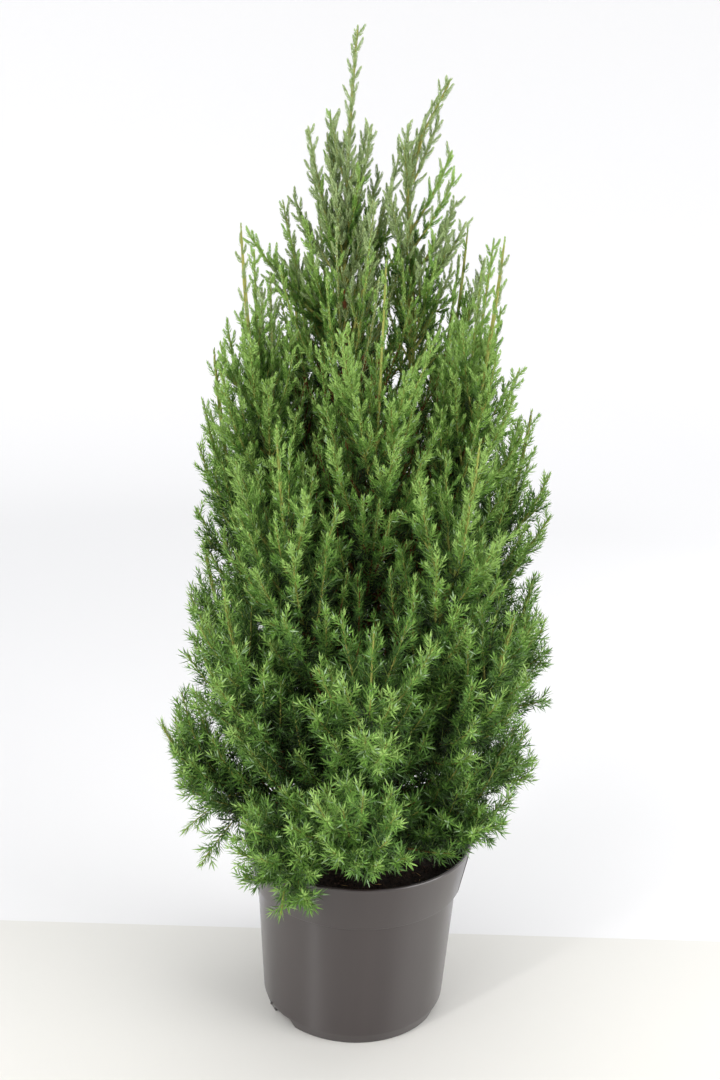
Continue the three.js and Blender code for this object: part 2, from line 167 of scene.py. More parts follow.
# How far tips may stand in the space of a neighbouring mass
TWIG_OVERLAP = 14
SHOOT_OVERLAP = 22
TRUNK_SHOOT_OVERLAP = 400
# Fixed directions that the sides of sprigs, shoots and needles are turned from
SPRIG_SIDE = (0.3, 0.95, 0.1)
SHOOT_SIDE = (0.31, 0.95, 0.05)
NEEDLE_SIDE = (0.2, 0.3, 0.93)
FULLER = dict(
    skirt=(1.35, 1.15),
    low=(1.12, 1.0),
    middle=(1.14, 1.0),
    upper=(1.45, 1.05),
    leader=(0.44, 0.7),
    second_leader=(1.2, 0.85),
    skirt_3=(1.1, 1.2),
    skirt_4=(1.2, 0.9),
    skirt_5=(1.2, 0.9),
)
BARE_DEPTH = 0.3
# Low in the crown the shoots are long and their needles spread; high up they are short, slim spindles
LOW = dict(
    height=330, step=5.6, length=27, taper=0.55, angle=43, out=0.82, lift=0.36,
    whorl=2.75, needle=11.4, wide=58, tight=27, silver=0.06, sprigs=0, inner=1.15,
    narrowing=0.3, blade=1.55,
)
HIGH = dict(
    height=690, step=4.4, length=14.5, taper=0.25, angle=33, out=0.66, lift=0.52,
    whorl=1.35, needle=5.2, wide=32, tight=7, silver=0.03, sprigs=1, inner=1.9,
    narrowing=0.5, blade=1.45,
)
SPRIG = dict(
    step=17, first=0.08, last=0.56, angle=25, length=0.4, shortest=10, reach=0.85, depth=0.6,
    thin_above=722, thin=0.45,
)
# Twigs that reach the crown's outline or fill a thin place, each from a share along its limb to a tip
REACHING = dict(
    leader=[
        (0.04, (-64, -12, 822)), (0.02, (-76, 14, 766)), (0.14, (-47, 10, 836)), (0.16, (-12, -8, 822)),
        (0.02, (-4, 20, 788)), (0.0, (-14, -18, 752)), (0.0, (-62, 6, 796)),
    ],
    second_leader=[
        (0.42, (18, -10, 826)), (0.5, (44, 6, 834)), (0.36, (56, 10, 806)), (0.3, (58, -14, 786)),
        (0.22, (63, 12, 766)), (0.14, (70, -10, 750)), (0.2, (4, -22, 776)), (0.1, (12, -16, 744)),
        (0.03, (2, 18, 728)), (0.05, (46, -22, 718)), (0.05, (60, -8, 710)),
    ],
    trunk_shoots=[
        (0.97, (-12, -12, 716)), (0.9, (0, 14, 702)), (1.0, (14, -6, 724)), (0.8, (20, 12, 650)),
        (0.7, (12, -16, 640)), (0.72, (48, 8, 668)), (0.66, (44, -18, 650)), (0.04, (72, -96, 238)),
        (0.06, (46, -106, 262)), (0.03, (108, -70, 226)), (0.02, (80, -108, 214)), (0.08, (92, -86, 262)),
        (0.04, (-108, -68, 232)), (0.9, (-112, -16, 736)), (0.95, (-90, -14, 712)), (1.0, (14, 8, 810)),
    ],
    upper_1=[(0.6, (-106, -30, 722)), (0.45, (-92, -34, 704)), (0.55, (-100, -16, 690))],
    upper_3=[(0.5, (82, -50, 712)), (0.45, (93, -26, 738))],
    upper_4=[(0.7, (92, 36, 718)), (0.35, (68, 8, 722))],
    middle_1=[(0.6, (-152, 2, 590))],
    middle_4=[(0.7, (126, -8, 584))],
    low_4=[(0.5, (169, 0, 366)), (0.35, (167, -14, 322))],
    skirt_1=[(0.3, (-164, -34, 188)), (0.2, (-146, -56, 166))],
)
REACHING_BULGE = (0.14, 0.14, -0.04)
NEEDLE = dict(widest=0.28, fold=0.22, first=0.6, curl=1.6, root=0.3)
NEEDLE_JITTER = dict(place=0.25, angle=5, turn=0.2, side=0.01, size=(0.82, 1.15))
NEEDLE_SEED = 5000
FRESH_END = 0.72
INNER_DEPTH = 0.55
INNER_SPACING = 1.5
SPIRES_FROM = 590
SPIRES_THIN = 750
SPIRE_SHARE = 0.6
OLD_BARK_TOP = 620
OLD_LEADER_TOP = 780
TWIG_TUBE = dict(rings=5, sides=4, tip=0.45, root=1.1, long=110)
SHOOT_TUBE = dict(shares=(0.0, 0.94), radii=(0.5, 0.25), sides=3)
# Bark: its relief as a share of the radius, then the ridges round and along the limb, coarse and fine
BARK = dict(relief=0.12, coarse=(2.4, 0.035), fine=(6, 0.09), fine_share=0.5)
TRUNK_TWIGS = dict(count=84, first=0.01, last=0.88, length=186, taper=0.42, angles=(64, 27), seed=900)

# The camera, from the ruler's marks and the pot's rim in the photograph
CAMERA_PLACE = (-0.023, -1.1347, 0.7838)
CAMERA_YAW = math.radians(0.71)
CAMERA_PITCH = math.radians(15.58)
CAMERA_ROLL = math.radians(2.09)
CAMERA_LENS = 43.33
TABLE = dict(width=12, front=6, back=0.105, sunk=0.0002)
BOWL = dict(
    middle=0.6, floor=1.9, bend=1.6, height=6.0, sunk=0.001, steps=24, sides=96,
    glow_from=0.5, glow_to=3.2, glow=0.29,
)


# Seeded numbers, the same as the part's

def random_from(seed):
    state = seed & MASK

    def draw():
        nonlocal state
        state = (state + 0x6D2B79F5) & MASK
        mixed = ((state ^ (state >> 15)) * (state | 1)) & MASK
        mixed = ((mixed + (mixed ^ (mixed >> 7)) * (mixed | 61)) & MASK) ^ mixed
        return (mixed ^ (mixed >> 14)) / 4294967296

    return draw


def spread(draw, width):
    return (draw() * 2 - 1) * width


# Curves: each is a function from shares to an array of points

def bezier(*points):
    points = np.array(points, float)
    degree = len(points) - 1

    def at(share):
        t = np.atleast_1d(np.asarray(share, float))[:, None]
        terms = [math.comb(degree, k) * t**k * (1 - t) ** (degree - k) * points[k] for k in range(degree + 1)]
        return sum(terms)

    return at


def catmull(*points):
    points = np.array(points, float)
    before = 2 * points[0] - points[1]
    after = 2 * points[-1] - points[-2]
    padded = np.vstack([before, points, after])
    last = len(points) - 2

    def one(share):
        place = min(max(share, 0.0), 1.0) * (last + 1)
        k = min(int(place), last)
        w = place - k
        p = padded[k : k + 4]
        steps = [np.linalg.norm(p[i + 1] - p[i]) ** 0.5 for i in range(3)]
        start = (p[1] - p[0]) / steps[0] - (p[2] - p[0]) / (steps[0] + steps[1]) + (p[2] - p[1]) / steps[1]
        end = (p[2] - p[1]) / steps[1] - (p[3] - p[1]) / (steps[1] + steps[2]) + (p[3] - p[2]) / steps[2]
        start = start * steps[1]
        end = end * steps[1]
        second = -3 * p[1] + 3 * p[2] - 2 * start - end
        third = 2 * p[1] - 2 * p[2] + start + end
        return p[1] + start * w + second * w**2 + third * w**3

    def at(share):
        return np.array([one(s) for s in np.atleast_1d(share)])

    return at


def unit(v):
    return v / np.maximum(np.linalg.norm(v, axis=-1, keepdims=True), 1e-9)


def tangent(curve, share):
    low = max(share - 1e-4, 0.0)
    high = min(share + 1e-4, 1.0)
    ends = curve([low, high])
    return unit(ends[1] - ends[0])


def across(direction, outward):
    first = unit(outward - np.dot(outward, direction) * direction)
    return first, np.cross(direction, first)


# Limbs

trunk_curve = catmull(*TRUNK_LEAN)


def trunk_radius(share):
    above = share * (TRUNK["top"] - MIX_TOP)
    taper = TRUNK["radius"] + (TRUNK["tip"] - TRUNK["radius"]) * share ** TRUNK["power"]
    flare = (TRUNK["foot"] - TRUNK["radius"]) * np.maximum(0, 1 - above / TRUNK["flare"]) ** 2
    return taper + flare


def trunk_share_at(height):
    low, high = 0.0, 1.0
    for _ in range(24):
        middle = (low + high) / 2
        if trunk_curve(middle)[0, 2] < height:
            low = middle
        else:
            high = middle
    return low


def tier_limbs():
    draw = random_from(LIMB_SEED)
    for tier in TIERS:
        for i in range(tier["count"]):
            stray = {**STAY, **STRAYS.get((tier["name"], i), {})}
            turn = tier["turn"] + 360 / tier["count"] * i + spread(draw, JITTER["turn"]) + stray["turn"]
            angle = math.radians(turn)
            step = (i * 3) % tier["count"] * FORK_STEP
            fork = trunk_curve(trunk_share_at(tier["fork"] + step + spread(draw, JITTER["fork"])))[0]
            radius = tier["radius"] + spread(draw, JITTER["radius"]) + stray["out"]
            height = tier["height"] + spread(draw, JITTER["height"]) + stray["up"]
            outward = np.array([math.cos(angle), math.sin(angle), 0.0])
            tip = outward * radius + UP * height
            controls = []
            for out, rise in zip(CONTROL_OUT, stray["rise"]):
                control = fork + (tip - fork) * out
                control[2] = fork[2] + (height - fork[2]) * rise
                controls.append(control)
            yield dict(
                name=f"{tier['name']}_{i + 1}",
                tier=tier["name"],
                curve=bezier(fork, *controls, tip),
                bough=tier["bough"],
                outward=outward,
                twigs=tier["twigs"],
                length=tier["length"],
                taper=TWIG["taper"],
            )


def leaders():
    fork = trunk_curve(trunk_share_at(SECOND_LEADER["fork"]))[0]
    yield dict(
        name="second_leader",
        tier="second_leader",
        curve=catmull(fork, *SECOND_LEADER["path"]),
        bough=SECOND_LEADER["bough"],
        outward=np.array([1.0, 0.0, 0.0]),
        taper=SPIRE_TAPER,
        **SPIRE,
    )
    yield dict(
        name="leader",
        tier="leader",
        curve=bezier(LEADER["start"], LEADER["bend"], LEADER["tip"]),
        bough=0.0,
        outward=np.array([-1.0, 0.0, 0.0]),
        taper=SPIRE_TAPER,
        **SPIRE,
    )


def trunk_limb():
    return dict(
        name="trunk_shoots",
        tier="trunk",
        curve=lambda share: trunk_curve(
            TRUNK_TWIGS["first"] + (TRUNK_TWIGS["last"] - TRUNK_TWIGS["first"]) * np.atleast_1d(share)
        ),
        bough=0.0,
        outward=np.array([1.0, 0.0, 0.0]),
        twigs=round(TRUNK_TWIGS["count"] / FINER),
        length=TRUNK_TWIGS["length"],
        taper=TRUNK_TWIGS["taper"],
        angles=TRUNK_TWIGS["angles"],
        shared=True,
        seed=TRUNK_TWIGS["seed"],
    )


limbs = [*tier_limbs(), *leaders()]
for index, limb in enumerate(limbs):
    limb["seed"] = FIRST_SEED + index
    limb["shared"] = False
    limb["angles"] = (TWIG["angle"], TWIG["angle"])
    limb["path"] = limb["curve"](np.linspace(limb["bough"], 1, PATH_POINTS))
    if limb["bough"] > 0:
        root = trunk_radius(trunk_share_at(limb["curve"](0)[0, 2])) * LIMB_ROOT_SHARE
        limb["root"] = float(root)


inner_limb = trunk_limb()
inner_limb["path"] = inner_limb["curve"](np.linspace(0, 1, PATH_POINTS))


# Spaces: how far points are from a path, and whether a mass may fill them. A point belongs to the nearest
# limb, give or take the overlap, inside the crown's outline and clear of the pot.

def distance_to(points, path):
    nearest = np.full(len(points), np.inf)
    for a, b in zip(path[:-1], path[1:]):
        along = b - a
        share = np.clip((points - a) @ along / max(along @ along, 1e-9), 0, 1)
        nearest = np.minimum(nearest, np.linalg.norm(points - a - share[:, None] * along, axis=1))
    return nearest


def in_space(points, limb, overlap):
    points = np.atleast_2d(points)
    own = distance_to(points, limb["path"])
    fits = np.ones(len(points), bool)
    for other in limbs:
        if other is not limb:
            fits &= distance_to(points, other["path"]) > own + 2 * CLEAR - overlap
    heights, radii = zip(*CROWN_OUTLINE)
    radius = np.hypot(points[:, 0], points[:, 1])
    fits &= radius < np.interp(points[:, 2], heights, radii) + OVERHANG
    fits &= points[:, 2] < CROWN_TOP
    fits &= (radius > RIM_RADIUS + CLEAR) | (points[:, 2] > POT_HEIGHT + CLEAR)
    return fits


# Twigs by the part's rule, more of them and from further down the bough, each shortened until it fits

def twigs_of(limb):
    draw = random_from(limb["seed"])
    phase = draw() * 2 * math.pi
    more, longer = FULLER.get(limb["name"], FULLER.get(limb["tier"], (1, 1)))
    count = round(limb["twigs"] * FINER * more)
    start = limb["bough"] * FIRST_ON_BOUGH
    last = TWIG["last"] if limb["shared"] else LAST_SPIRE_TWIG.get(limb["name"], LAST_TWIG)
    twigs = []
    for i in range(count):
        along = TWIG["first"] + (last - TWIG["first"]) * (i + 0.5) / count
        share = start + (1 - start) * along
        base = limb["curve"](share)[0]
        direction = tangent(limb["curve"], share)
        first, second = across(direction, limb["outward"])
        turn = phase + i * GOLDEN + spread(draw, TWIG_JITTER["turn"])
        leaning = limb["angles"][0] + (limb["angles"][1] - limb["angles"][0]) * along
        angle = math.radians(leaning + spread(draw, TWIG_JITTER["angle"]))
        length = limb["length"] * longer * (1 - limb["taper"] * along)
        length = length * (1 + spread(draw, TWIG_JITTER["length"]))
        side = first * math.cos(turn) + second * math.sin(turn)
        heading = direction * math.cos(angle) + side * math.sin(angle)
        out, lift = float(between("out", base[2])), float(between("lift", base[2]))
        for shorter in SHORTER:
            reach = length * shorter
            tip = base + heading * reach * out + UP * reach * lift
            if limb["shared"] or in_space(tip, limb, TWIG_OVERLAP)[0]:
                twigs.append(dict(curve=bezier(base, base + heading * reach * 0.5, tip), length=reach))
                break
    twigs += reaching_twigs(limb)
    twigs += sprigs_on(twigs, draw)
    stem = limb["curve"]
    stem_length = float(np.linalg.norm(np.diff(limb["path"], axis=0), axis=1).sum())
    if not limb["shared"]:
        own = lambda s: stem(limb["bough"] + (1 - limb["bough"]) * np.asarray(s))
        twigs.append(dict(curve=own, length=stem_length))
    return twigs


def reaching_twigs(limb):
    twigs = []
    for share, tip in REACHING.get(limb["name"], []):
        base = limb["curve"](limb["bough"] + (1 - limb["bough"]) * share)[0]
        tip = np.array(tip, float)
        middle = (base + tip) / 2 + (tip - base) * REACHING_BULGE
        twigs.append(dict(curve=bezier(base, middle, tip), length=float(np.linalg.norm(tip - base))))
    return twigs


# High in the crown a twig forks into sprigs, each a smaller spire beside it

def sprigs_on(twigs, draw):
    sprigs = []
    for twig in twigs:
        count = round(twig["length"] * (SPRIG["last"] - SPRIG["first"]) / SPRIG["step"])
        turn = draw() * 2 * math.pi
        for i in range(count):
            along = SPRIG["first"] + (SPRIG["last"] - SPRIG["first"]) * (i + 0.5) / count
            base = twig["curve"](along)[0]
            direction = tangent(twig["curve"], along)
            first, second = across(direction, np.array(SPRIG_SIDE))
            turn += GOLDEN + spread(draw, TWIG_JITTER["turn"])
            angle = math.radians(SPRIG["angle"] + spread(draw, TWIG_JITTER["angle"]))
            length = twig["length"] * (1 - along) * SPRIG["length"] + SPRIG["shortest"]
            thin = SPRIG["thin"] if base[2] > SPRIG["thin_above"] else 1
            grows = draw() < between("sprigs", base[2]) * thin
            if not grows or crown_share(base[None])[0] < INNER_DEPTH * SPRIG["depth"]:
                continue
            side = first * math.cos(turn) + second * math.sin(turn)
            heading = direction * math.cos(angle) + side * math.sin(angle)
            tip = base + heading * length * SPRIG["reach"] + UP * length * SHOOT["lift"]
            sprigs.append(dict(curve=bezier(base, base + heading * length * 0.5, tip), length=length))
    return sprigs


def ramp(value, start, end):
    return np.clip((value - start) / (end - start), 0, 1)


# Values that pass from those low in the crown to those high in it

def between(name, height):
    high = ramp(height, LOW["height"], HIGH["height"])
    return LOW[name] + (HIGH[name] - LOW[name]) * high


# Shoots along each twig: quadratic curves, gathered as arrays. The twig's own end is one of them.

def shoots_of(limb, twigs):
    draw = np.random.default_rng(limb["seed"])
    rows = []
    for order, twig in enumerate(twigs):
        centre = twig["curve"](0.5)
        step = float(between("step", centre[0, 2])) * (
            float(between("inner", centre[0, 2])) if crown_share(centre)[0] < INNER_DEPTH else 1
        )
        count = max(3, int(twig["length"] * (1 - SHOOT["first"]) / step))
        shares = SHOOT["first"] + (SHOOT["last"] - SHOOT["first"]) * (np.arange(count) + 0.5) / count
        bases = twig["curve"](shares)
        ahead = unit(twig["curve"](shares + 0.01) - twig["curve"](shares - 0.01))
        first = unit(np.cross(ahead, SHOOT_SIDE))
        second = np.cross(ahead, first)
        turns = order * SHOOT["turn"] + np.arange(count) * GOLDEN
        turns = turns + draw.normal(0, SHOOT_JITTER["turn"], count)
        angles = between("angle", bases[:, 2]) + draw.normal(0, SHOOT_JITTER["angle"], count)
        angles = np.radians(angles)[:, None]
        side = first * np.cos(turns)[:, None] + second * np.sin(turns)[:, None]
        heading = ahead * np.cos(angles) + side * np.sin(angles)
        size = between("length", bases[:, 2]) * (1 - between("taper", bases[:, 2]) * shares)
        size = size * draw.uniform(*SHOOT_JITTER["size"], count)
        tone = draw.random() * TONE_PARTS[0] + draw.random(count) * TONE_PARTS[1]
        middles = bases + heading * size[:, None] * 0.5
        ends = bases + heading * size[:, None] * SHOOT["reach"] + UP * size[:, None] * SHOOT["lift"]
        rows.extend(zip(bases, middles, ends, size, shares, tone))
        start, middle, end = twig["curve"](TWIG_END["shares"])
        control = 2 * middle - (start + end) / 2
        rows.append((start, control, end, twig["length"] * TWIG_END["reach"], 1.0, tone[0]))
    bases, middles, ends, reach, shares, tone = (np.array(column) for column in zip(*rows))
    overlap = TRUNK_SHOOT_OVERLAP if limb["shared"] else SHOOT_OVERLAP
    keep = in_space(ends, limb, overlap) | (shares == 1)
    if not limb["shared"]:
        keep &= crown_share(ends) > BARE_DEPTH
    return dict(
        points=np.stack([bases, middles, ends], axis=1)[keep],
        reach=reach[keep],
        share=shares[keep],
        tone=tone[keep],
        depth=crown_share(ends[keep]),
    )


# How far out a point is, from the middle of the crown at 0 to its outline at 1. The spires have little
# inside, so their points count as further out.

def crown_share(points):
    heights, radii = zip(*CROWN_OUTLINE)
    share = np.hypot(points[:, 0], points[:, 1]) / np.interp(points[:, 2], heights, radii)
    thin = ramp(points[:, 2], SPIRES_FROM, SPIRES_THIN)
    return share + (1 - np.minimum(share, 1)) * SPIRE_SHARE * thin


def along_quadratic(points, t):
    t = t[:, None]
    place = points[:, 0] * (1 - t) ** 2 + points[:, 1] * 2 * t * (1 - t) + points[:, 2] * t**2
    heading = (points[:, 1] - points[:, 0]) * (1 - t) + (points[:, 2] - points[:, 1]) * t
    return place, unit(heading)


# Needles in whorls of three, each a folded kite of two faces

def needles_on(shoots, seed):
    draw = np.random.default_rng(seed + NEEDLE_SEED)
    spacing = between("whorl", shoots["points"][:, 1, 2])
    spacing = spacing * np.where(shoots["depth"] < INNER_DEPTH, INNER_SPACING, 1)
    whorls = np.maximum(3, (shoots["reach"] / spacing).astype(int))
    owner = np.repeat(np.arange(len(whorls)), whorls * 3)
    first = np.concatenate([[0], np.cumsum(whorls * 3)[:-1]])
    number = np.arange(len(owner)) - first[owner]
    whorl = number // 3
    shift = draw.uniform(-NEEDLE_JITTER["place"], NEEDLE_JITTER["place"], len(owner))
    t = np.clip((whorl + NEEDLE["first"] + shift) / whorls[owner], 0, 1)
    place, ahead = along_quadratic(shoots["points"][owner], t)
    height = place[:, 2]
    wide = between("wide", height)
    tight = between("tight", height)
    angle = wide + (tight - wide) * t ** NEEDLE["curl"]
    angle = np.radians(angle + draw.normal(0, NEEDLE_JITTER["angle"], len(owner)))[:, None]
    turn = (number % 3) * (2 * math.pi / 3) + (whorl % 2) * (math.pi / 3)
    turn = turn + draw.normal(0, NEEDLE_JITTER["turn"], len(owner))
    side = unit(np.cross(ahead, NEEDLE_SIDE + draw.normal(0, NEEDLE_JITTER["side"], 3)))
    other = np.cross(ahead, side)
    radial = side * np.cos(turn)[:, None] + other * np.sin(turn)[:, None]
    heading = ahead * np.cos(angle) + radial * np.sin(angle)
    size = between("needle", height) * (1 - between("narrowing", height) * t)
    size = size * draw.uniform(*NEEDLE_JITTER["size"], len(owner))
    blade = between("blade", height)[:, None]
    width = unit(np.cross(heading, radial)) * blade / 2
    fold = unit(np.cross(width, heading)) * blade * NEEDLE["fold"]
    start = place + radial * NEEDLE["root"]
    middle = start + heading * size[:, None] * NEEDLE["widest"] + fold
    corners = np.stack([start, middle + width, start + heading * size[:, None], middle - width], axis=1)
    silver = draw.random(len(owner)) < between("silver", height)
    return corners, owner, t > FRESH_END, silver


def link(thing):
    bpy.context.scene.collection.objects.link(thing)


# Meshes from arrays

def mesh_object(name, verts, loops, sizes, materials, indices=None, smooth=False):
    mesh = bpy.data.meshes.new(name)
    mesh.vertices.add(len(verts))
    mesh.vertices.foreach_set("co", (np.asarray(verts) * MM).astype(np.float32).ravel())
    mesh.loops.add(len(loops))
    mesh.loops.foreach_set("vertex_index", np.asarray(loops, np.int32))
    mesh.polygons.add(len(sizes))
    starts = np.concatenate([[0], np.cumsum(sizes)[:-1]])
    mesh.polygons.foreach_set("loop_start", starts.astype(np.int32))
    for material in materials:
        mesh.materials.append(material)
    if indices is not None:
        mesh.polygons.foreach_set("material_index", np.asarray(indices, np.int32))
    mesh.polygons.foreach_set("use_smooth", np.full(len(sizes), smooth))
    mesh.update(calc_edges=True)
    mesh.validate()
    piece = bpy.data.objects.new(name, mesh)
    link(piece)
    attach(piece, "root")
    return piece


def tube_arrays(paths, radii, sides):
    count, rings = paths.shape[:2]
    ahead = unit(np.gradient(paths, axis=1))
    overall = unit(paths[:, -1] - paths[:, 0])
    reference = np.where(np.abs(overall[:, 2:3]) > 0.8, [1.0, 0.0, 0.0], [0.0, 0.0, 1.0])[:, None, :]
    first = unit(np.cross(ahead, np.broadcast_to(reference, ahead.shape)))
    second = np.cross(ahead, first)
    turn = np.arange(sides) * 2 * math.pi / sides
    ring = first[:, :, None] * np.cos(turn)[:, None] + second[:, :, None] * np.sin(turn)[:, None]
    verts = paths[:, :, None] + ring * radii[:, :, None, None]
    grid = np.arange(count * rings * sides).reshape(count, rings, sides)
    around = np.roll(grid, -1, axis=2)
    quads = np.stack([grid[:, :-1], around[:, :-1], around[:, 1:], grid[:, 1:]], axis=-1)
    return verts.reshape(-1, 3), quads.reshape(-1, 4)


# Materials

def shader(name, colour, roughness, specular):
    material = bpy.data.materials.new(name)
    material.use_nodes = True
    principled = material.node_tree.nodes["Principled BSDF"]
    principled.inputs["Base Color"].default_value = (*linear(colour), 1)
    principled.inputs["Roughness"].default_value = roughness
    principled.inputs["Specular IOR Level"].default_value = specular
    return material, material.node_tree, principled


def linear(colour):
    channels = [int(colour[i : i + 2], 16) / 255 for i in (1, 3, 5)]
    return [c / 12.92 if c <= 0.04045 else ((c + 0.055) / 1.055) ** 2.4 for c in channels]


def noise_node(tree, scale, detail, stretch=(1, 1, 1)):
    place = tree.nodes.new("ShaderNodeTexCoord")
    mapping = tree.nodes.new("ShaderNodeMapping")
    mapping.inputs["Scale"].default_value = stretch
    texture = tree.nodes.new("ShaderNodeTexNoise")
    texture.inputs["Scale"].default_value = scale
    texture.inputs["Detail"].default_value = detail
    tree.links.new(place.outputs["Object"], mapping.inputs["Vector"])
    tree.links.new(mapping.outputs["Vector"], texture.inputs["Vector"])
    return texture.outputs["Fac"]


def colour_ramp(tree, factor, stops):
    ramp = tree.nodes.new("ShaderNodeValToRGB")
    tree.links.new(factor, ramp.inputs["Fac"])
    elements = ramp.color_ramp.elements
    while len(elements) < len(stops):
        elements.new(0.5)
    for element, (position, colour) in zip(elements, stops):
        element.position = position
        element.color = (*linear(colour), 1)
    return ramp.outputs["Color"]


def value_range(tree, factor, low, high):
    span = tree.nodes.new("ShaderNodeMapRange")
    span.inputs["To Min"].default_value = low
    span.inputs["To Max"].default_value = high
    tree.links.new(factor, span.inputs["Value"])
    return span.outputs["Result"]


def bump(tree, principled, height, distance, strength=1.0):
    node = tree.nodes.new("ShaderNodeBump")
    node.inputs["Distance"].default_value = distance
    node.inputs["Strength"].default_value = strength
    tree.links.new(height, node.inputs["Height"])
    tree.links.new(node.outputs["Normal"], principled.inputs["Normal"])


def needle_material(name, dark, light, roughness):
    material, tree, principled = shader(name, light, roughness, 0.35)
    grain = noise_node(tree, 160, 2)
    tree.links.new(colour_ramp(tree, grain, [(0.3, dark), (0.7, light)]), principled.inputs["Base Color"])
    return material


def bark_material(name, stops, scale):
    material, tree, principled = shader(name, stops[1][1], 0.86, 0.25)
    fibre = noise_node(tree, scale, 6, (1, 1, 0.16))
    tree.links.new(colour_ramp(tree, fibre, stops), principled.inputs["Base Color"])
    bump(tree, principled, fibre, 0.0008)
    return material


def pot_material():
    material, tree, principled = shader("pot_plastic", "#2d2524", 0.42, 0.5)
    streaks = noise_node(tree, 40, 4, (1, 1, 0.08))
    colour = colour_ramp(tree, streaks, [(0.25, "#2a2120"), (0.75, "#312827")])
    tree.links.new(colour, principled.inputs["Base Color"])
    scuffs = noise_node(tree, 26, 6)
    tree.links.new(value_range(tree, scuffs, 0.39, 0.45), principled.inputs["Roughness"])
    principled.inputs["Anisotropic"].default_value = 0.9
    principled.inputs["Anisotropic Rotation"].default_value = 0.25
    principled.inputs["Coat Weight"].default_value = 0.8
    principled.inputs["Coat Roughness"].default_value = 0.24
    bump(tree, principled, noise_node(tree, 700, 3), 0.00012, 0.6)
    return material


def mix_material():
    material, tree, principled = shader("potting_mix_peat", "#1d1612", 0.95, 0.2)
    crumbs = noise_node(tree, 320, 8)
    colour = colour_ramp(tree, crumbs, [(0.3, "#0d0907"), (0.55, "#231912"), (0.8, "#3a2a1e")])
    tree.links.new(colour, principled.inputs["Base Color"])
    bump(tree, principled, crumbs, 0.002)
    return material


# Needle tones from dark to light; the deeper a spray sits in the crown, the darker its tone, as painted shade
NEEDLE_TONES = [
    ("needles_deep_shade", "#1a2b0f", "#263a17", 0.6),
    ("needles_shade", "#314e1b", "#3e5f24", 0.55),
    ("needles_mid", "#4a6e29", "#5a8134", 0.5),
    ("needles_fresh", "#668d38", "#789f46", 0.5),
    ("needles_pale", "#88aa52", "#9dbd68", 0.5),
    ("needles_grey", "#93a66c", "#a8ba86", 0.52),
    ("needles_silver", "#839f72", "#a0b88f", 0.5),
]


# Places in the list above
SHADE, FRESH, PALE, GREY, SILVER = 1, 3, 4, 5, 6
# Heights over which each pull on the tone grows from none to all, and how strong the pulls are
TONE_HEIGHTS = dict(high=(440, 700), low=(620, 420), top=(660, 800))
# The pull of depth darkens sprays inside the crown as painted shade
TONE_PULLS = dict(depth=0.85, share=0.7, tone=0.7, high=0.42, low=0.2, top=0.22)
TONE_STEPS = [0.7, 0.96, 1.18, 1.44]
DEEPEST = 1.1
GREYING = dict(top=0.1, start=0.7, more=0.5)


# Which tone a spray of needles has: darker inside the crown, which is painted shade for its deep gaps, darker
# low in the crown and lighter high in it, fresher at the ends, greyer near the top

def tones_of(shoots):
    heights = shoots["points"][:, 2, 2]
    high, low, top = (ramp(heights, *TONE_HEIGHTS[name]) for name in ("high", "low", "top"))
    pull = TONE_PULLS
    score = pull["depth"] * np.clip(shoots["depth"], 0, DEEPEST) + pull["share"] * shoots["share"]
    score = score + pull["tone"] * (shoots["tone"] - 0.5)
    score = score + pull["high"] * high - pull["low"] * low + pull["top"] * top
    tone = np.digitize(score, TONE_STEPS)
    greying = shoots["tone"] > GREYING["start"] - GREYING["more"] * top
    return np.where((top > GREYING["top"]) & (tone >= FRESH) & greying, GREY, tone)


# Pieces

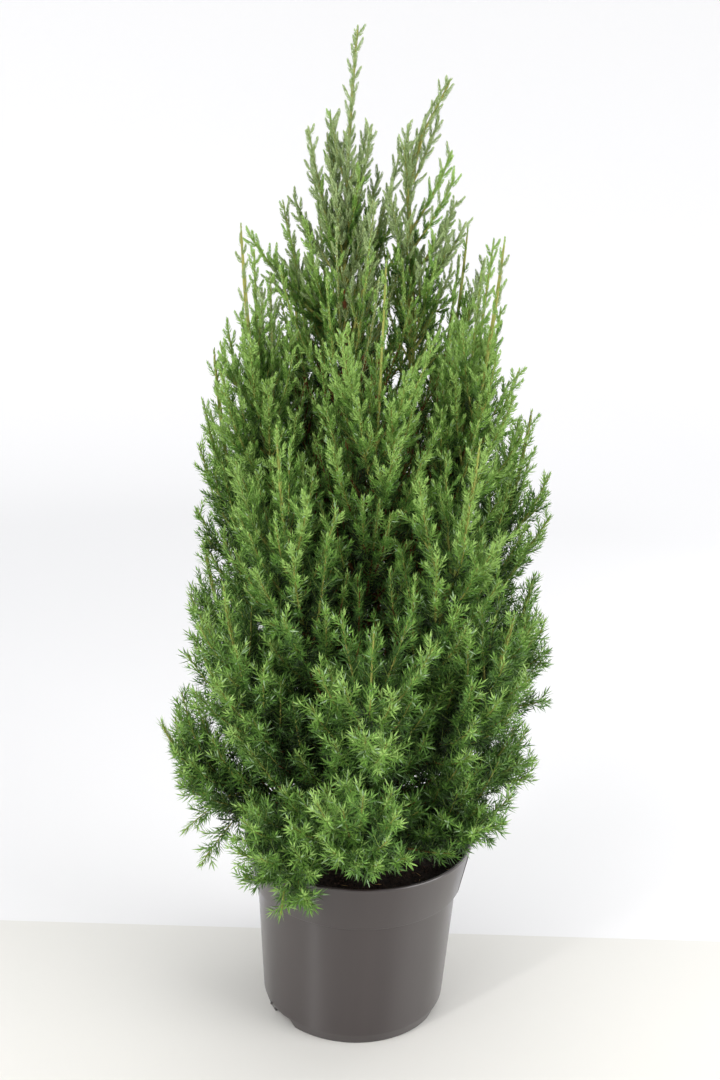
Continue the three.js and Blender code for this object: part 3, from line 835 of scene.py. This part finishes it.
def dress_mass(limb, needle_materials, twig_material):
    twigs = twigs_of(limb)
    shoots = shoots_of(limb, twigs)
    corners, owner, fresh, silver = needles_on(shoots, limb["seed"])
    count = len(corners)
    quad = np.arange(count)[:, None] * 4
    loops = (quad + np.array([[0, 1, 2, 0, 2, 3]])).ravel()
    tone = tones_of(shoots)[owner]
    tone = np.where(fresh & (tone < PALE), tone + 1, tone)
    tone = np.where(silver & (tone > SHADE), SILVER, tone)
    indices = np.repeat(tone, 2)
    name = f"needles_{limb['name']}"
    piece = mesh_object(name, corners.reshape(-1, 3), loops, [3] * (count * 2), needle_materials, indices)
    if not limb["shared"]:
        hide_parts(f"foliage_{limb['name']}")

    shares = np.linspace(0, 1, TWIG_TUBE["rings"])
    paths = np.array([twig["curve"](shares) for twig in twigs])
    lengths = np.array([twig["length"] for twig in twigs])[:, None]
    radii = TWIG_TUBE["tip"] + lengths / TWIG_TUBE["long"] * (1 - shares) * TWIG_TUBE["root"]
    twig_verts, twig_quads = tube_arrays(paths, radii, TWIG_TUBE["sides"])
    stem = limb["curve"](np.linspace(limb["bough"], STEM["end"], STEM["rings"]))[None]
    stem_radii = np.linspace(STEM["radius"], STEM["tip"], STEM["rings"])[None]
    stem_verts, stem_quads = tube_arrays(stem, stem_radii, STEM["sides"])
    points = shoots["points"][shoots["share"] != 1]
    rings = [along_quadratic(points, np.full(len(points), share))[0] for share in SHOOT_TUBE["shares"]]
    shoot_radii = np.tile(SHOOT_TUBE["radii"], (len(points), 1))
    shoot_verts, shoot_quads = tube_arrays(np.stack(rings, axis=1), shoot_radii, SHOOT_TUBE["sides"])
    verts = np.vstack([twig_verts, stem_verts, shoot_verts])
    quads = np.vstack([
        twig_quads,
        stem_quads + len(twig_verts),
        shoot_quads + len(twig_verts) + len(stem_verts),
    ])
    woody = quads[: len(twig_quads) + len(stem_quads)]
    old_top = np.full(len(woody), OLD_BARK_TOP)
    old_top[len(twig_quads) :] = OLD_LEADER_TOP if "leader" in limb["name"] else OLD_BARK_TOP
    old = (crown_share(verts[woody[:, 0]]) < INNER_DEPTH) & (verts[woody[:, 0], 2] < old_top)
    green = np.concatenate([np.where(old, 0, 1), np.full(len(shoot_quads), 2)])
    twig_piece = mesh_object(
        f"twigs_{limb['name']}", verts, quads.ravel(), [4] * len(quads), twig_material, green, smooth=True
    )


def bark_limb(curve, start, end, radius_at, rings, sides):
    shares = np.linspace(start, end, rings)
    paths = curve(shares)[None]
    radii = np.array([radius_at(k) for k in np.linspace(0, 1, rings)])[None]
    verts, quads = tube_arrays(paths, radii, sides)
    centres = np.repeat(paths[0], sides, axis=0)
    around = np.tile(np.arange(sides) * 2 * math.pi / sides, rings)
    out = unit(verts - centres)
    ridge = lambda a, p, scale, rise: noise.noise(
        Vector((math.cos(a) * scale, math.sin(a) * scale, p[2] * rise))
    )
    ridges = [
        ridge(a, p, *BARK["coarse"]) + BARK["fine_share"] * ridge(a, p, *BARK["fine"])
        for a, p in zip(around, centres)
    ]
    verts = verts + out * (np.array(ridges) * BARK["relief"] * np.repeat(radii[0], sides))[:, None]
    caps = [list(range(sides))[::-1], list(range((rings - 1) * sides, rings * sides))]
    return verts, quads, caps


def bark_piece(name, shapes, material, nodes):
    verts, loops, sizes = [], [], []
    offset = 0
    for limb_verts, quads, caps in shapes:
        verts.append(limb_verts)
        loops.extend((quads + offset).ravel().tolist())
        sizes.extend([4] * len(quads))
        for cap in caps:
            loops.extend(index + offset for index in cap)
            sizes.append(len(cap))
        offset += len(limb_verts)
    piece = mesh_object(name, np.vstack(verts), loops, sizes, [material], smooth=True)
    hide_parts(*nodes)


def dress_bark(material):
    trunk = bark_limb(trunk_curve, 0, 1, trunk_radius, rings=130, sides=24)
    bark_piece("trunk_bark", [trunk], material, ["trunk"])
    for tier in dict.fromkeys(limb["tier"] for limb in limbs if limb["bough"] > 0):
        members = [limb for limb in limbs if limb["tier"] == tier]
        shapes = []
        for limb in members:
            radius_at = lambda k, root=limb["root"]: root + (LIMB_TIP - root) * k
            shapes.append(bark_limb(limb["curve"], 0.01, limb["bough"], radius_at, rings=24, sides=10))
        bark_piece(f"bark_{tier}", shapes, material, [f"bough_{limb['name']}" for limb in members])


def lathe_arrays(profile, sides):
    turn = np.arange(sides) * 2 * math.pi / sides
    profile = np.array(profile, float)
    verts = [np.stack([r * np.cos(turn), r * np.sin(turn), np.full(sides, z)], axis=1) for r, z in profile]
    grid = np.arange(len(profile) * sides).reshape(len(profile), sides)
    around = np.roll(grid, -1, axis=1)
    quads = np.stack([grid[:-1], around[:-1], around[1:], grid[1:]], axis=-1).reshape(-1, 4)
    return np.vstack(verts), quads


# The loops and face sizes of a turned shape with a flat cap at each end

def capped(verts, quads, sides):
    last = len(verts) - sides
    loops = quads.ravel().tolist() + list(range(sides))[::-1] + list(range(last, last + sides))
    return loops, [4] * len(quads) + [sides, sides]


def rounded(profile, radius, steps=3):
    result = [profile[0]]
    for before, corner, after in zip(profile[:-2], profile[1:-1], profile[2:]):
        a, b, c = (np.array(p, float) for p in (before, corner, after))
        cut = min(radius, np.linalg.norm(a - b) * 0.45, np.linalg.norm(c - b) * 0.45)
        start = b + unit(a - b) * cut
        end = b + unit(c - b) * cut
        for k in range(steps + 1):
            t = k / steps
            result.append(tuple(start * (1 - t) ** 2 + b * 2 * t * (1 - t) + end * t**2))
    result.append(profile[-1])
    return result


def dress_pot():
    inside = lambda radius: radius - WALL
    profile = [
        (CAP_RADIUS, 0),
        (FOOT_RADIUS, 0),
        (FOOT_RADIUS + 0.8, 2),
        (SHOULDER_RADIUS, SHOULDER_HEIGHT),
        (BODY_RADIUS, BAND_BOTTOM - 0.8),
        (BAND_RADIUS, BAND_BOTTOM + 0.6),
        (RIM_RADIUS, POT_HEIGHT - 3.2),
        (RIM_RADIUS + 0.6, POT_HEIGHT - 1.4),
        (RIM_RADIUS - 0.6, POT_HEIGHT),
        (inside(RIM_RADIUS), POT_HEIGHT - 0.3),
        (inside(BAND_RADIUS), BAND_BOTTOM + WALL),
        (inside(BODY_RADIUS), BAND_BOTTOM),
        (inside(SHOULDER_RADIUS), SHOULDER_HEIGHT),
        (inside(FOOT_RADIUS), POT_FLOOR),
        (CAP_RADIUS, POT_FLOOR),
    ]
    verts, quads = lathe_arrays(rounded(profile, POT_ROUNDING), POT_SIDES)
    loops, sizes = capped(verts, quads, POT_SIDES)
    material = pot_material()
    pot = mesh_object("pot_shell", verts, loops, sizes, [material], smooth=True)
    for index in range(NOTCH_COUNT):
        cut_notch(pot, index)
    pot.data.set_sharp_from_angle(angle=math.radians(POT_SHARP))
    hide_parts("pot")
    mould_marks(material)


# The nubs that moulding leaves at the band's step and the foot, and its seam down the band

def mould_marks(material):
    marks = bmesh.new()
    for turn, radius, height, size in POT_NUBS:
        angle = math.radians(turn)
        place = Vector((radius * math.cos(angle), radius * math.sin(angle), height)) * MM
        stretch = Matrix.Diagonal((size * MM, size * MM, size * 1.5 * MM, 1))
        matrix = Matrix.Translation(place) @ stretch
        bmesh.ops.create_icosphere(marks, subdivisions=2, radius=1, matrix=matrix)
    angle = math.radians(SEAM["turn"])
    out = Vector((math.cos(angle), math.sin(angle), 0))
    side = Vector((-math.sin(angle), math.cos(angle), 0))
    rows = []
    for k in range(SEAM["steps"] + 1):
        t = k / SEAM["steps"]
        radius = BAND_RADIUS + (RIM_RADIUS - BAND_RADIUS) * t
        height = BAND_BOTTOM + SEAM["bottom"] + (POT_HEIGHT - BAND_BOTTOM - SEAM["short"]) * t
        middle = out * radius + UP_VECTOR * height
        corners = [(middle + side * x * SEAM["width"] + out * y) * MM for x, y in SEAM_SECTION]
        rows.append([marks.verts.new(corner) for corner in corners])
    for low, high in zip(rows[:-1], rows[1:]):
        for i in range(4):
            following = (i + 1) % 4
            marks.faces.new([low[i], low[following], high[following], high[i]])
    marks.faces.new(rows[0][::-1])
    marks.faces.new(rows[-1])
    bmesh.ops.recalc_face_normals(marks, faces=marks.faces)
    mesh = bpy.data.meshes.new("pot_marks")
    marks.to_mesh(mesh)
    marks.free()
    mesh.materials.append(material)
    piece = bpy.data.objects.new("pot_marks", mesh)
    link(piece)
    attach(piece, "root")


def cut_notch(pot, index):
    middle = math.radians(NOTCH_TURN + 360 / NOTCH_COUNT * index)
    half = math.tan(math.radians(NOTCH_HALF_ANGLE)) * FOOT_RADIUS
    top = half - NOTCH_HEIGHT * NOTCH_SLOPE
    inner, outer = FOOT_RADIUS - NOTCH_BITE, FOOT_RADIUS + NOTCH_BITE
    section = [(-half, -1), (half, -1), (half, 0), (top, NOTCH_HEIGHT), (-top, NOTCH_HEIGHT), (-half, 0)]
    wedge = bmesh.new()
    rings = [[wedge.verts.new(Vector((depth, x, z)) * MM) for x, z in section] for depth in (inner, outer)]
    wedge.faces.new(rings[0])
    wedge.faces.new(rings[1][::-1])
    for k in range(len(section)):
        following = (k + 1) % len(section)
        wedge.faces.new([rings[0][following], rings[0][k], rings[1][k], rings[1][following]])
    bmesh.ops.recalc_face_normals(wedge, faces=wedge.faces)
    bmesh.ops.rotate(wedge, cent=(0, 0, 0), matrix=Matrix.Rotation(middle, 3, "Z"), verts=wedge.verts)
    mesh = bpy.data.meshes.new("wedge")
    wedge.to_mesh(mesh)
    wedge.free()
    cutter = bpy.data.objects.new("wedge", mesh)
    link(cutter)
    cut = pot.modifiers.new("notch", "BOOLEAN")
    cut.operation = "DIFFERENCE"
    cut.object = cutter
    cut.solver = "EXACT"
    bpy.context.view_layer.update()
    evaluated = pot.evaluated_get(bpy.context.evaluated_depsgraph_get())
    result = bpy.data.meshes.new_from_object(evaluated)
    pot.modifiers.clear()
    pot.data = result
    bpy.data.objects.remove(cutter)


def dress_mix():
    inside = lambda radius: radius - WALL - MIX_FIT
    edge_top = MIX_TOP - MIX_EDGE_DROP
    band_share = (edge_top - BAND_BOTTOM) / (POT_HEIGHT - BAND_BOTTOM)
    edge = inside(BAND_RADIUS + (RIM_RADIUS - BAND_RADIUS) * band_share)
    below = [
        (1, POT_FLOOR + GAP),
        (FOOT_RADIUS - MIX_FOOT_INSET, POT_FLOOR + GAP),
        (inside(SHOULDER_RADIUS), POT_FLOOR + NOTCH_HEIGHT),
        (inside(BODY_RADIUS), BAND_BOTTOM - WALL),
        (inside(BODY_RADIUS), BAND_BOTTOM + WALL),
        (inside(BAND_RADIUS), BAND_BOTTOM + WALL + MIX_FIT),
    ]
    top = [
        (edge * (1 - k / MIX_RINGS), edge_top + MIX_EDGE_DROP * min(1, k / MIX_FLAT_RING))
        for k in range(MIX_RINGS)
    ]
    verts, quads = lathe_arrays(below + top, MIX_SIDES)
    for v in verts[len(below) * MIX_SIDES :]:
        lumps = [noise.noise(Vector((v[0] * s, v[1] * s, z))) * height for s, z, height in MIX_RELIEF]
        v[2] += sum(lumps) - MIX_SUNK
    loops, sizes = capped(verts, quads, MIX_SIDES)
    material = mix_material()
    piece = mesh_object("potting_mix_body", verts, loops, sizes, [material], smooth=True)
    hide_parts("potting_mix")
    scatter_crumbs(material, edge, edge_top)


# Crumbs of peat, chips of bark and straws that lie on the mix, each with eight faces

def scatter_crumbs(material, edge, edge_top):
    draw = np.random.default_rng(CRUMBS["seed"])
    count = CRUMBS["count"]
    radius = edge * CRUMBS["spread"] * np.sqrt(draw.random(count))
    turn = draw.random(count) * 2 * math.pi
    rise = MIX_EDGE_DROP * np.minimum(1, (1 - radius / edge) * MIX_RINGS / MIX_FLAT_RING)
    centres = np.stack([radius * np.cos(turn), radius * np.sin(turn), edge_top + rise], axis=1)
    straw = draw.random(count) < CRUMBS["straws"]
    long, short = draw.uniform(*CRUMBS["straw_length"], count), draw.uniform(*CRUMBS["length"], count)
    lengths = np.where(straw, long, short)
    widths = np.where(straw, CRUMBS["straw_width"], lengths * draw.uniform(*CRUMBS["width"], count))
    heading = unit(np.stack([draw.normal(0, width, count) for width in (1, 1, CRUMBS["lean"])], axis=1))
    side = unit(np.cross(heading, UP))
    lift = np.cross(side, heading)
    h = heading * lengths[:, None] / 2
    s = side * widths[:, None] / 2
    u = lift * np.minimum(widths, CRUMBS["thickest"])[:, None] / 2
    corners = np.stack([centres - h, centres + s, centres + h, centres - s, centres + u, centres - u], axis=1)
    faces = np.array([[0, 1, 4], [1, 2, 4], [2, 3, 4], [3, 0, 4], [1, 0, 5], [2, 1, 5], [3, 2, 5], [0, 3, 5]])
    loops = (np.arange(count)[:, None, None] * 6 + faces[None]).ravel()
    chip = needle_material("potting_mix_straw", "#8a6a3e", "#b8965e", 0.8)
    bark = needle_material("potting_mix_bark", "#2b1c13", "#4a3222", 0.9)
    kind = np.where(straw, 1, np.where(draw.random(count) < CRUMBS["bark"], 2, 0))
    piece = mesh_object(
        "potting_mix_crumbs", corners.reshape(-1, 3), loops, [3] * (count * len(faces)),
        [material, chip, bark], np.repeat(kind, len(faces)),
    )


# The stage: a pale table in front of a pale wall, soft light, and the camera

def stage_plane(name, size, place, colour):
    bpy.ops.mesh.primitive_plane_add(size=1, location=place)
    plane = bpy.context.object
    plane.name = name
    plane.scale = (*size, 1)
    material, _, _ = shader(name, colour, 0.7, 0.2)
    plane.data.materials.append(material)


# A round floor that turns up into a wall all round with no edge between them. It casts no shade and throws no
# light back, so that the studio's light reaches the plant from every side, and it glows with distance, where
# the lamps light it least.

def stage_bowl(name, colour):
    bend = np.linspace(0, math.pi / 2, BOWL["steps"])
    radius = BOWL["bend"]
    profile = [(0.001, 0.0), (BOWL["middle"], 0.0)]
    profile += [(BOWL["floor"] + radius * math.sin(t), radius - radius * math.cos(t)) for t in bend]
    profile.append((BOWL["floor"] + radius, BOWL["height"]))
    verts, quads = lathe_arrays(profile, BOWL["sides"])
    verts[:, 2] -= BOWL["sunk"]
    mesh = bpy.data.meshes.new(name)
    mesh.from_pydata(verts.tolist(), [], quads.tolist())
    mesh.polygons.foreach_set("use_smooth", np.ones(len(quads), bool))
    material, tree, principled = shader(name, colour, 0.7, 0.2)
    place = tree.nodes.new("ShaderNodeTexCoord")
    distance = tree.nodes.new("ShaderNodeVectorMath")
    distance.operation = "LENGTH"
    tree.links.new(place.outputs["Object"], distance.inputs["Vector"])
    rise = tree.nodes.new("ShaderNodeMapRange")
    rise.interpolation_type = "SMOOTHSTEP"
    rise.inputs["From Min"].default_value = BOWL["glow_from"]
    rise.inputs["From Max"].default_value = BOWL["glow_to"]
    rise.inputs["To Max"].default_value = BOWL["glow"]
    tree.links.new(distance.outputs["Value"], rise.inputs["Value"])
    tree.links.new(rise.outputs["Result"], principled.inputs["Emission Strength"])
    principled.inputs["Emission Color"].default_value = (1.0, 0.985, 0.99, 1)
    mesh.materials.append(material)
    bowl = bpy.data.objects.new(name, mesh)
    link(bowl)
    bowl.visible_shadow = False
    bowl.visible_diffuse = False


def area_light(name, place, target, size, power):
    data = bpy.data.lights.new(name, "AREA")
    data.shape = "RECTANGLE"
    data.size, data.size_y = size
    data.energy = power
    light = bpy.data.objects.new(name, data)
    light.location = place
    light.rotation_euler = (Vector(target) - Vector(place)).to_track_quat("-Z", "Y").to_euler()
    link(light)


def set_stage():
    stage_bowl("backdrop", "#e1dfdf")
    front, back = TABLE["front"], TABLE["back"]
    place = (0, (back - front) / 2, -TABLE["sunk"])
    stage_plane("table", (TABLE["width"], front + back), place, "#d7d4cf")
    world = bpy.data.worlds.new("studio")
    world.use_nodes = True
    world.node_tree.nodes["Background"].inputs["Color"].default_value = (0.93, 0.97, 1.0, 1)
    world.node_tree.nodes["Background"].inputs["Strength"].default_value = 0.65
    bpy.context.scene.world = world
    area_light("key", (-1.5, -1.6, 2.3), (0, 0, 0.45), (1.8, 1.4), 30)
    area_light("fill", (2.0, -0.9, 1.1), (0, 0, 0.4), (1.6, 1.6), 43)
    area_light("rim", (1.6, 1.1, 0.7), (0, 0, 0.35), (1.0, 1.2), 8)
    area_light("top", (0.1, 0.3, 2.6), (0, 0, 0.5), (2.0, 2.0), 23)
    area_light("strip", (-1.1, -1.15, 0.5), (0, 0, 0.12), (0.1, 1.2), 12)


def set_camera():
    yaw, pitch, roll = CAMERA_YAW, -CAMERA_PITCH, CAMERA_ROLL
    ahead = Vector((math.sin(yaw) * math.cos(pitch), math.cos(yaw) * math.cos(pitch), math.sin(pitch)))
    right = Vector((math.cos(yaw), -math.sin(yaw), 0))
    above = right.cross(ahead)
    turned = math.cos(roll) * right + math.sin(roll) * above
    raised = -math.sin(roll) * right + math.cos(roll) * above
    data = bpy.data.cameras.new("camera")
    data.sensor_width = 36
    data.lens = CAMERA_LENS
    camera = bpy.data.objects.new("camera", data)
    facing = Matrix((turned, raised, -ahead)).transposed().to_4x4()
    camera.matrix_world = Matrix.Translation(CAMERA_PLACE) @ facing
    link(camera)
    bpy.context.scene.camera = camera


bpy.context.scene.view_settings.view_transform = "Standard"
set_camera()
set_stage()
dress_pot()
dress_mix()
bark = bark_material("bark", [(0.3, "#3a2114"), (0.5, "#7a4a2c"), (0.72, "#a9764c")], 220)
twig_bark = bark_material("twig_bark", [(0.3, "#5a3a22"), (0.6, "#7d5530"), (0.8, "#8a6c3c")], 400)
young_bark = bark_material("young_bark", [(0.3, "#83843f"), (0.6, "#9c9c52"), (0.8, "#a8a25c")], 400)
shoot_skin = needle_material("shoot_skin", "#6f8a3f", "#8fa653", 0.6)
dress_bark(bark)
tones = [needle_material(*row) for row in NEEDLE_TONES]
for limb in [*limbs, inner_limb]:
    dress_mass(limb, tones, [twig_bark, young_bark, shoot_skin])
